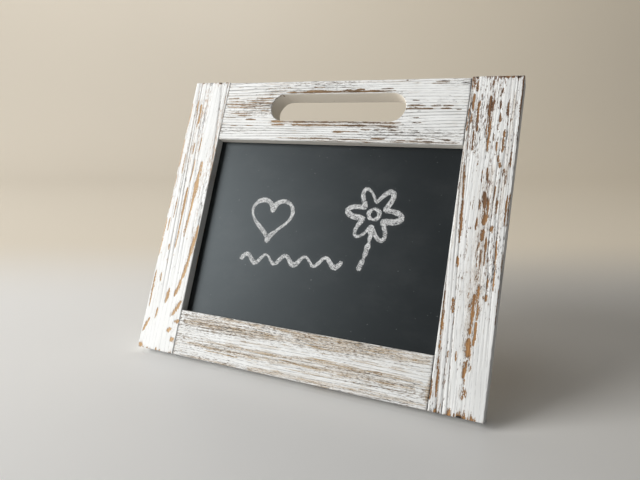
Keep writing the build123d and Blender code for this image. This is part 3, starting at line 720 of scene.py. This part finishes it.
# Worn streaks here run from (up from the lower edge, along from the left end)
top_streaks = [
    (43.3, 76, 43.3, 83, 1.3), (43.5, 80, 43.5, 92, 1.5), (43, 89, 43, 98.5, 1.9), (42.2, 70, 42.2, 115, 1),
    (43.5, 110.5, 43.5, 115.5, 1.9), (43.6, 119.5, 43.6, 126.5, 2.1), (42, 114, 42, 142, 1),
    (44.2, 140.5, 44.2, 149.5, 1), (40.8, 36, 40.8, 52, 1), (37.3, 29, 37.3, 47, 1.1),
    (37.4, 2, 37.5, 13, 1.3), (33.3, 23, 33.3, 47, 0.8), (31.8, 0, 31.9, 30, 0.8), (34.4, 2, 34.4, 19, 0.6),
    (30.6, 16, 30.6, 40, 0.6), (29.3, 2, 29.3, 30, 0.7), (26, 36, 26, 46.5, 0.8), (35.4, 20, 35.4, 46, 0.6),
    (28.2, 22, 28.2, 46, 0.6), (25, 2, 25, 16, 0.6), (19.6, 3, 19.6, 13, 0.6), (23.6, 8, 23.6, 26.5, 1.1),
    (21.6, 15, 21.6, 29, 0.9), (18, 23.5, 18, 33.5, 1.3), (17, 48.5, 16.9, 60, 1.8),
    (16.8, 58, 16.6, 84, 0.9), (16.6, 82, 16.5, 108, 1.7), (16.5, 121, 16.5, 160, 1.2),
    (13.6, 49.5, 13.6, 61.5, 1.6), (13.6, 68, 13.6, 101, 1.9), (14, 107, 13.6, 143, 1.8),
    (13.4, 140, 13.2, 158.5, 1.7), (30.3, 162.5, 30.3, 176.5, 1.2), (28.2, 161.5, 28.2, 174, 2.1),
    (28, 172, 28, 182.5, 1), (30.3, 180.5, 30.3, 188.5, 1), (30.3, 189.5, 30.3, 197.5, 1.1),
    (28, 188.5, 28, 196.5, 1), (8.2, 105.5, 8.3, 114.5, 1.3), (10.6, 128.5, 10.6, 137.5, 1.1),
    (2.2, 111, 2.4, 135, 0.9), (3.3, 138, 3.3, 149.5, 1.3), (2.2, 158, 2.2, 175, 1),
    (3.5, 172.5, 3.5, 178, 1.4), (2.1, 178.5, 2.1, 187, 1), (3.5, 192.5, 3.5, 198.5, 1.4),
    (2.6, 56, 2.6, 104, 0.8), (48.2, 179, 48.2, 192, 0.6), (49.6, 182, 49.6, 193, 0.6),
    (16.8, 168, 16.6, 176, 1), (10.8, 148, 10.8, 156, 0.7), (10.6, 139.5, 10.6, 144.5, 0.8),
    (27.4, 199.5, 27.2, 203.5, 0.8), (20.6, 168.5, 20.8, 173, 0.7), (34.8, 166, 34.6, 171.5, 0.7),
    (44.4, 140, 44.4, 150, 0.9), (8.8, 106, 8.6, 128, 0.7), (1, 150, 1.2, 204, 0.8),
    (46.8, 83, 46.6, 92, 0.8), (47.6, 8, 47.4, 15, 0.7), (12.4, 9, 12.2, 17, 0.7),
    (12.8, 23, 12.6, 32, 0.7), (42.1, 72, 42.1, 110, 1.1), (42.1, 106, 42.1, 143, 1.1),
    (13.8, 68, 13.7, 102, 1.6), (42.5, 58, 42.6, 104, 1.5), (42.6, 98, 42.6, 152, 1.5),
    (16.5, 47, 16.4, 104, 1.4), (16.4, 100, 16.4, 158, 1.4), (13.6, 98, 13.5, 140, 1.5),
]


def slotted_board(half_length, low_rise, high_rise):
    """A board with a stadium slot, as rings of its section round the slot. Every outline place is paired
    with the slot's edge straight inwards, towards the slot's middle line. A ring goes out over the front,
    round the outer corner, down the wall, in along the rebate, back over the back and up the slot's wall.
    The rebate squeezes the outline upwards, so that its lower edge moves in by the rebate's width and its
    top stays where it is. Returns x, rise and forward, the outward direction, and how brushed and how near
    a corner each place is; of the outer walls the top edge is brushed most."""
    corner = np.radians(np.linspace(0.0, 90.0, 5))
    width_run = np.linspace(-half_length + arris_radius, half_length - arris_radius, 205)
    height_run = np.linspace(low_rise + arris_radius, high_rise - arris_radius, 165)
    right, top, bottom = width_run[-1], height_run[-1], height_run[0]
    wide, tall, still = np.ones(len(width_run)), np.ones(len(height_run)), np.ones(len(corner) - 2)
    turns = np.concatenate([
        0.0 * wide, corner[1:-1], np.pi / 2 * tall, np.pi / 2 + corner[1:-1],
        np.pi * wide, np.pi + corner[1:-1], 1.5 * np.pi * tall, 1.5 * np.pi + corner[1:-1],
    ])
    out_x, out_rise = np.sin(turns), np.cos(turns)
    core_x = np.concatenate([width_run, right * still, right * tall, right * still,
                             width_run[::-1], -right * still, -right * tall, -right * still])
    core_rise = np.concatenate([top * wide, top * still, height_run[::-1], bottom * still,
                                bottom * wide, bottom * still, height_run, top * still])
    edge_x, edge_rise = core_x + arris_radius * out_x, core_rise + arris_radius * out_rise
    squeeze = rebate_width / (high_rise - low_rise)
    cut_rise = core_rise + squeeze * (high_rise - core_rise)
    fold_rise = edge_rise + squeeze * (high_rise - edge_rise)

    middle_x = np.clip(edge_x, (slot_height - slot_length) / 2, (slot_length - slot_height) / 2)
    reach = np.hypot(edge_x - middle_x, edge_rise - slot_rise)
    away_x, away_rise = (edge_x - middle_x) / reach, (edge_rise - slot_rise) / reach
    slot_x, slot_up = middle_x + slot_height / 2 * away_x, slot_rise + slot_height / 2 * away_rise
    rim_x, rim_rise = slot_x + slot_arris * away_x, slot_up + slot_arris * away_rise
    flat = 0.0 * edge_x

    def run(count, start, end, outward, brushed):
        """Rows going straight from one ring of places to another."""
        share = np.linspace(0.0, 1.0, count)[:, None]
        places = [a + share * (b - a) for a, b in zip(start, end)]
        return np.stack(places + [o + 0.0 * places[0] for o in (*outward, brushed, 0.0)], axis=-1)

    def quarter(middle, radius, sideways, start_angle, brushed):
        """Rows of a quarter round from an angle above the board's face, turning 90 degrees down."""
        angle = np.radians(start_angle - np.linspace(0.0, 90.0, 6)[1:-1])[:, None]
        outward = [np.cos(angle) * sideways[0], np.cos(angle) * sideways[1], np.sin(angle) + flat]
        places = [m + radius * o for m, o in zip(middle, outward)]
        return np.stack(places + outward + [w + 0.0 * places[0] for w in (brushed, 1.0)], axis=-1)

    out, away = (out_x, out_rise), (away_x, away_rise)
    outwards, inwards = (out_x, out_rise, flat), (-away_x, -away_rise, flat)
    forwards, backwards = (flat, flat, flat + 1.0), (flat, flat, flat - 1.0)
    high, shelf, brow = flat + frame_depth, flat + rebate_level, flat + frame_depth - arris_radius
    heel, slot_heel, slot_brow = flat + arris_radius, flat + slot_arris, high - slot_arris
    top_edge = np.where(out_rise > 0.5, side_brushed, 0.0)
    wall = np.maximum(top_edge, wall_brushed)
    rows = np.concatenate([
        run(58, (rim_x, rim_rise, high), (core_x, core_rise, high), forwards, 1.0),
        quarter((core_x, core_rise, brow), arris_radius, out, 90.0, corner_brushed),
        run(8, (edge_x, edge_rise, brow), (edge_x, edge_rise, shelf + lip), outwards, wall),
        run(3, (edge_x, edge_rise, shelf + lip / 2), (edge_x, fold_rise, shelf), outwards, top_edge),
        run(6, (edge_x, fold_rise, shelf - lip), (edge_x, fold_rise, heel), outwards, top_edge),
        quarter((core_x, cut_rise, heel), arris_radius, out, 0.0, np.maximum(top_edge, 0.1)),
        run(14, (core_x, cut_rise, flat), (rim_x, rim_rise, flat), backwards, back_brushed),
        quarter((rim_x, rim_rise, slot_heel), slot_arris, away, -90.0, 0.0),
        run(7, (slot_x, slot_up, slot_heel), (slot_x, slot_up, slot_brow), inwards, 0.0),
        quarter((rim_x, rim_rise, slot_brow), slot_arris, away, 180.0, corner_brushed),
    ])
    return rows[..., :3], rows[..., 3:6], rows[..., 6], rows[..., 7]


board, outward, brushed, arris = slotted_board(rail_high[0], rail_low[1], rail_high[1] - rail_shy)
grain = np.stack([board[..., 1] - rail_low[1], board[..., 2], board[..., 0] - rail_low[0]], axis=-1)
sunk, marks = weathering(grain, brushed, arris * (brushed > 0.5), top_timber, top_streaks)
board = board - sunk[..., None] * outward
top_rail = skin_mesh("top_rail_brushed", on_board(board[..., 0], board[..., 1], board[..., 2]), marks, False)
top_rail.data.materials.append(top_paint)
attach(top_rail, "frame")
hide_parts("top_rail")

# Dowels. Turned beech pegs, two glued into each of the four corner joints.
# The finished frame hides them.
beech, tree, surface = new_material("bare_beech")
place = node(tree, "ShaderNodeTexCoord").outputs["Object"]
pores = noise_of(tree, stretched(tree, place, (40.0, 900.0, 900.0)), 1.0, 4.0, 0.6)
tone = ramp(tree, pores, [(0.3, (0.42, 0.25, 0.13, 1.0)), (0.7, (0.62, 0.43, 0.26, 1.0))])
set_surface(tree, surface, tone, remap(tree, pores, 0.3, 0.7, 0.75, 0.6), pores, 0.4, 0.0001)


def dress_nodes(names, material):
    """Gives solids that keep their own shape a finish."""
    for name in names:
        slots = frame["nodes"][name].data.materials
        slots.clear()
        slots.append(material)


dress_nodes([name for name in frame["nodes"] if name.endswith("_dowels")], beech)

# Writing panel. A thin hardboard sheet with satin black chalk paint, sprayed and rubbed smooth, dropped
# into the rebate from behind. It carries a heart, a flower and a wavy line in white chalk and the dust of
# earlier wiping.
panel_width = panel_high[0] - panel_low[0]
panel_height = panel_high[1] - panel_low[1]
panel_depth = panel_high[2] - panel_low[2]
panel_spacing = 0.8
panel_arris = 0.4
panel_end_round = 0.3
farthest = 20.0


def chalk_distance(x, rise, strokes):
    """How far outside the nearest chalk stroke each point is, in millimetres, less than 0 inside. A stroke
    is a line of points with half its width at each, and a point's distance is to the nearest of them, taken
    in batches."""
    nearest = np.full(x.shape, farthest)
    for line_x, line_rise, half_width in strokes:
        batches = [np.array_split(values, 12) for values in (line_x, line_rise, half_width)]
        for batch_x, batch_rise, batch_half in zip(*batches):
            gap = np.hypot(x[..., None] - batch_x, rise[..., None] - batch_rise) - batch_half
            nearest = np.minimum(nearest, gap.min(-1))
    return nearest


stroke = np.linspace(0.0, 1.0, 240)
turn = 2.0 * np.pi * stroke
pressure = 1.95 + 0.45 * np.sin(2.3 * turn + 0.6) + 0.25 * np.sin(5.1 * turn)
heart_size = 1.15
heart_x = -42.0 + heart_size * 16.0 * np.sin(turn) ** 3
heart_rise = 13 * np.cos(turn) - 5 * np.cos(2 * turn) - 2 * np.cos(3 * turn) - np.cos(4 * turn)
heart_rise = 122.0 + heart_size * heart_rise
flower_middle = (44.0, 131.0)
petal_reach = 15.5 + 6.0 * np.cos(6.0 * turn + 0.4)
eye_reach = 4.2
flower_x = flower_middle[0] + petal_reach * np.cos(turn)
flower_rise = flower_middle[1] + petal_reach * np.sin(turn)
eye_x, eye_rise = flower_middle[0] + eye_reach * np.cos(turn), flower_middle[1] + eye_reach * np.sin(turn)
stem_x, stem_rise = flower_middle[0] - 5.0 * stroke**2, 119.0 - 30.0 * stroke
wave_x, wave_rise = -62.0 + 86.0 * stroke, 86.0 + 3.5 * np.sin(5.0 * turn) + 5.0 * stroke
chalk_strokes = [
    (heart_x, heart_rise, pressure), (flower_x, flower_rise, pressure[::-1]),
    (eye_x, eye_rise, 0.8 * pressure), (stem_x, stem_rise, pressure),
    (wave_x, wave_rise, 0.9 * pressure[::-1]),
]
share, inset, run = batten_rows(panel_height, panel_spacing, panel_end_round, 4)
section = batten_section(panel_width, panel_depth, panel_arris, 0.0, panel_depth / 2, panel_spacing)
across = panel_width / 2 + share * (section[:, 0] - inset * section[:, 2] - panel_width / 2)
forward = panel_depth / 2 + share * (section[:, 1] - inset * section[:, 3] - panel_depth / 2)
panel_x = panel_low[0] + across
panel_rise = panel_low[1] + run + 0.0 * across
chalk = np.full(panel_x.shape, farthest)
face = section[:, 4] == 1.0
chalk[:, face] = chalk_distance(panel_x[:, face], panel_rise[:, face], chalk_strokes)
panel_marks = {"chalk": chalk, "panel_place": np.stack([panel_x, panel_rise, forward], axis=-1)}
panel_places = on_board(panel_x, panel_rise, panel_low[2] + forward)
panel = skin_mesh("writing_panel_painted", panel_places, panel_marks, True)

chalk_paint, tree, surface = new_material("satin_chalk_paint")
place = attribute(tree, "panel_place", "Vector")
away = attribute(tree, "chalk")
tooth = noise_of(tree, place, 1.6, 2.0, 0.65)
clump = noise_of(tree, place, 0.4, 2.0)
wiped = noise_of(tree, stretched(tree, place, (0.6, 1.0, 1.0)), 0.035, 4.0, 0.6)
speck = noise_of(tree, place, 0.6, 2.0, 0.5)
body = remap(tree, away, 0.8, -0.9)
grip = summed(tree, tooth, remap(tree, clump, 0.3, 0.7, -0.05, 0.05))
grip = summed(tree, grip, remap(tree, body, 0.0, 1.0, -0.30, 0.05))
mark = times(tree, remap(tree, grip, 0.45, 0.60), remap(tree, away, 0.9, 0.4))
dust = summed(tree, remap(tree, wiped, 0.45, 0.75, 0.0, 0.012), remap(tree, speck, 0.745, 0.77, 0.0, 0.3))
powder = summed(tree, remap(tree, away, 3.0, 0.0, 0.0, 0.01), dust)
deep_black = (0.0065, 0.0072, 0.0077, 1.0)
grey_black = (0.0090, 0.0099, 0.0106, 1.0)
black = mixed(tree, remap(tree, wiped, 0.3, 0.7), deep_black, grey_black)
colour = mixed(tree, powder, black, (0.62, 0.62, 0.61, 1.0))
colour = mixed(tree, mark, colour, (0.78, 0.785, 0.79, 1.0))
sheen = summed(tree, remap(tree, tooth, 0.2, 0.8, 0.38, 0.47), times(tree, mark, 0.45))
relief = summed(tree, times(tree, tooth, 0.6), mark)
set_surface(tree, surface, colour, sheen, relief, 0.5, 0.00012)
# The cool specular tint is painted light: it gives the lamps' reflection in the panel a bluish sky colour.
surface.inputs["Specular Tint"].default_value = (0.80, 0.93, 1.0, 1.0)
surface.inputs["Specular IOR Level"].default_value = 0.40
panel.data.materials.append(chalk_paint)
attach(panel, "frame")
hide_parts("writing_panel")

# Backing board. A birch plywood sheet behind the panel in the same rebate; it takes the hinge's screws.
# Its bare face has fine upright grain, and the six turn buttons hold it in.
plywood, tree, surface = new_material("birch_plywood")
place = node(tree, "ShaderNodeTexCoord").outputs["Object"]
veneer = stretched(tree, place, (1.0, 0.06, 0.06))
figure = noise_of(tree, veneer, 60.0, 4.0, 0.6)
fleck = noise_of(tree, veneer, 700.0, 3.0, 0.6)
stain = noise_of(tree, place, 14.0, 3.0)
birch = [(0.32, (0.47, 0.30, 0.155, 1.0)), (0.5, (0.60, 0.42, 0.245, 1.0)), (0.68, (0.52, 0.345, 0.185, 1.0))]
tone = ramp(tree, figure, birch)
tone = mixed(tree, remap(tree, fleck, 0.52, 0.72, 0.0, 0.5), tone, (0.34, 0.205, 0.10, 1.0))
tone = mixed(tree, remap(tree, stain, 0.5, 0.75, 0.0, 0.25), tone, (0.38, 0.25, 0.14, 1.0))
set_surface(tree, surface, tone, remap(tree, fleck, 0.3, 0.7, 0.58, 0.74), fleck, 0.35, 0.0001)
dress_nodes(["backing_board"], plywood)

# Turn buttons. Six pressed steel tabs, bright zinc plated, each turning on a round-headed screw in the
# frame's back, to let the panel and its backing in and out.
zinc, tree, surface = new_material("bright_zinc")
place = node(tree, "ShaderNodeTexCoord").outputs["Object"]
cells = node(tree, "ShaderNodeTexVoronoi", {"Vector": place, "Scale": 420.0}, feature="F1")
spangle = cells.outputs["Distance"]
cloud = noise_of(tree, place, 160.0, 4.0, 0.6)
rub = noise_of(tree, stretched(tree, place, (1.0, 6.0, 6.0)), 500.0, 3.0, 0.65)
tone = mixed(tree, remap(tree, cloud, 0.35, 0.7), (0.60, 0.61, 0.62, 1.0), (0.44, 0.45, 0.455, 1.0))
tone = mixed(tree, remap(tree, spangle, 0.2, 0.7, 0.0, 0.3), tone, (0.70, 0.70, 0.69, 1.0))
set_surface(tree, surface, tone, remap(tree, rub, 0.25, 0.75, 0.26, 0.46), rub, 0.15, 0.00005)
surface.inputs["Metallic"].default_value = 1.0
dress_nodes([name for name in frame["nodes"] if name.endswith("_button")] + ["button_screws"], zinc)

# Hinge. A small butt hinge of plated brass strip: two leaves with rolled knuckles on one pin, held to the
# backing and to the leg by countersunk screws. Its plating has dulled and darkened in patches.
brass, tree, surface = new_material("dull_brass")
place = node(tree, "ShaderNodeTexCoord").outputs["Object"]
tarnish = noise_of(tree, place, 130.0, 5.0, 0.65)
brush = noise_of(tree, stretched(tree, place, (0.08, 1.0, 1.0)), 2600.0, 3.0, 0.6)
plating = [(0.3, (0.36, 0.235, 0.085, 1.0)), (0.55, (0.62, 0.44, 0.18, 1.0)), (0.75, (0.68, 0.50, 0.23, 1.0))]
tone = ramp(tree, tarnish, plating)
dulled = summed(tree, remap(tree, tarnish, 0.3, 0.7, 0.46, 0.28), remap(tree, brush, 0.3, 0.7, -0.05, 0.05))
set_surface(tree, surface, tone, dulled, brush, 0.2, 0.00004)
surface.inputs["Metallic"].default_value = 1.0
dress_nodes([name for name in frame["nodes"] if name.startswith("hinge_")], brass)

# Easel leg. A brushed and painted batten that swings on the hinge. Its top is mitred to stop flat on the
# backing when it is open, and its foot is cut level with the table.
leg_rake = np.radians(18.0)
up_leg = np.array([0.0, -np.sin(leg_rake), np.cos(leg_rake)])
to_back = np.array([0.0, np.cos(leg_rake), np.sin(leg_rake)])
leg_axes = np.array([to_right, up_leg, to_back])
hinge_line = np.array(next(joint["pos_m"] for joint in frame["joints"] if joint["name"] == "leg_fold"))
leg_low, leg_high = node_extents("easel_leg", leg_axes, hinge_line)
leg_width, leg_length, leg_depth = leg_high - leg_low
leg_stop = node_extents("easel_leg", board_axes, board_foot)[1][2]
hinge_forward = (hinge_line - board_foot) @ to_front / MM
leg_timber = {
    "seed": 27, "length": leg_length, "pith": (70, -24, 0.02), "ring_pitch": 3.2, "waver": (1.2, 0.35),
    "grooved": 0.3, "groove_depth": 0.4, "line_depth": 0.12, "chipped": 0.6, "end_wear": 0.6, "seam": 0.0,
    "ragged": (0.9, 6), "streak_hold": 0.0, "fleck": (0.8, 5), "paint_hold": 1.3, "fray": (-0.2, -0.2),
    "patchy": 0.6, "tinted": 0.26,
    "channels": [],
    "calm": [],
    "thin": [(26, 20, 25, 120, 6)],
}
# Worn streaks here run from (across from the left edge, along from the foot)
leg_streaks = [
    (8, 150, 7.6, 118, 2.6), (21, 132, 21.6, 92, 3), (29, 96, 28.6, 62, 2.4), (12, 74, 12.4, 40, 2.8),
    (24, 44, 23.6, 12, 3), (3, 30, 3.4, 4, 2.2), (33, 22, 33, 2, 2.4),
]


def leg_ends(forward):
    """Where the leg meets the table and where its mitre meets the backing, counted up the leg from the
    foot."""
    depth = leg_low[2] + forward
    foot = -(hinge_line[2] / MM + depth * to_back[2]) / up_leg[2]
    mitre = (leg_stop - hinge_forward - depth * (to_back @ to_front)) / (up_leg @ to_front)
    return foot - leg_low[1], mitre - leg_low[1]


def leg_to_world(across, forward, along):
    """Forward counts from the leg's face on the board's side, so its outer face is the brushed front. What
    would go through the table is cut level."""
    height = leg_low[1] + np.maximum(along, leg_ends(forward)[0])
    local = np.stack(np.broadcast_arrays(leg_low[0] + across, height, leg_low[2] + forward), axis=-1)
    return hinge_line + MM * local @ leg_axes


no_rebate = (0.0, 0.0)
leg = timber_batten("easel_leg_brushed", leg_width, leg_depth, leg_length, 0.0, no_rebate, leg_timber,
                    leg_streaks, leg_ends, leg_to_world)
leg.data.materials.append(right_paint)
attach(leg, "leg")
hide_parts("easel_leg")

# Floor, light and camera. A plain pale sweep stands in for the table, warmer behind, with painted light in
# its colour: lighter on the table towards the window and darker away from it, and lighter on the wall to the
# right. A large soft light from the left is the window, a second one lights the sweep's back, the
# surroundings add a weak fill, and the camera is where the photograph was taken from.
camera_turn = np.radians(24.02)
camera_tilt = 13.70
away_from_camera = np.array([-np.sin(camera_turn), np.cos(camera_turn), 0.0])
across_camera = np.array([np.cos(camera_turn), np.sin(camera_turn), 0.0])
sweep_half_width = 4.0
sweep_front = -2.5
sweep_back = 1.1
sweep_radius = 0.9
sweep_top = 3.0
bend = np.linspace(0.0, np.pi / 2, 24)
sweep_end = sweep_back + sweep_radius
sweep_depth = np.concatenate([[sweep_front], sweep_back + sweep_radius * np.sin(bend), [sweep_end]])
sweep_z = np.concatenate([[0.0], sweep_radius * (1.0 - np.cos(bend)), [sweep_top]])
sweep_across = np.array([-sweep_half_width, sweep_half_width])[:, None]
sweep = np.stack(np.broadcast_arrays(sweep_across, sweep_depth, sweep_z), axis=-1)
sweep = sweep @ np.array([across_camera, away_from_camera, [0.0, 0.0, 1.0]])
columns = len(sweep_depth)
strip = np.arange(columns - 1)
strip_faces = np.stack([strip, strip + columns, strip + columns + 1, strip + 1], axis=-1)
floor_mesh = bpy.data.meshes.new("floor")
floor_mesh.from_pydata(sweep.reshape(-1, 3).tolist(), [], strip_faces.tolist())
floor_mesh.shade_smooth()
floor = bpy.data.objects.new("floor", floor_mesh)
bpy.context.scene.collection.objects.link(floor)
floor_paint, tree, surface = new_material("pale_floor")
place = node(tree, "ShaderNodeTexCoord").outputs["Object"]
back, aside = (
    node(tree, "ShaderNodeVectorMath", {0: place, 1: tuple(way)}, operation="DOT_PRODUCT").outputs["Value"]
    for way in (away_from_camera, across_camera)
)
# Painted light: the table part is lighter towards the window and darker away from it, and the wall part lighter to
# the right.
table_tone_with_painted_light = mixed(tree, remap(tree, aside, -0.35, 0.35), (0.87, 0.87, 0.865, 1.0), (0.63, 0.625, 0.61, 1.0))
wall_tone_with_painted_light = mixed(tree, remap(tree, aside, -0.8, 1.0), (0.79, 0.725, 0.62, 1.0), (0.96, 0.87, 0.72, 1.0))
tone = mixed(tree, remap(tree, back, 0.10, 0.40), table_tone_with_painted_light, wall_tone_with_painted_light)
tree.links.new(tone, surface.inputs["Base Color"])
surface.inputs["Roughness"].default_value = 0.42
floor.data.materials.append(floor_paint)

world = bpy.data.worlds.new("studio")
world.use_nodes = True
world.node_tree.nodes["Background"].inputs["Color"].default_value = (0.95, 0.97, 1.0, 1.0)
world.node_tree.nodes["Background"].inputs["Strength"].default_value = 0.09
bpy.context.scene.world = world
daylight = (1.0, 0.99, 0.97)


def soft_light(name, place, aim, size, power):
    """A square soft light at a place in metres, turned to face its aim."""
    lamp = bpy.data.lights.new(name, "AREA")
    lamp.shape = "SQUARE"
    lamp.size = size
    lamp.energy = power
    lamp.color = daylight
    light = bpy.data.objects.new(name, lamp)
    light.location = place
    light.rotation_euler = (Vector(aim) - light.location).to_track_quat("-Z", "Y").to_euler()
    bpy.context.scene.collection.objects.link(light)


soft_light("window", (-1.893, -1.479, 1.095), (0.0, 0.0, 0.1), 1.4, 73.0)
soft_light("backdrop_light", (-0.6, 0.0, 2.1), (0.2, 1.7, 0.4), 1.2, 10.0)
bpy.context.scene.view_settings.view_transform = "Standard"

camera_lens = bpy.data.cameras.new("camera")
camera_lens.lens = 30.03
camera_lens.sensor_width = 36.0
camera = bpy.data.objects.new("camera", camera_lens)
camera.location = (0.16763, -0.38481, 0.19820)
camera.rotation_euler = (np.radians(90.0 - camera_tilt), 0.0, camera_turn)
bpy.context.scene.collection.objects.link(camera)
bpy.context.scene.camera = camera
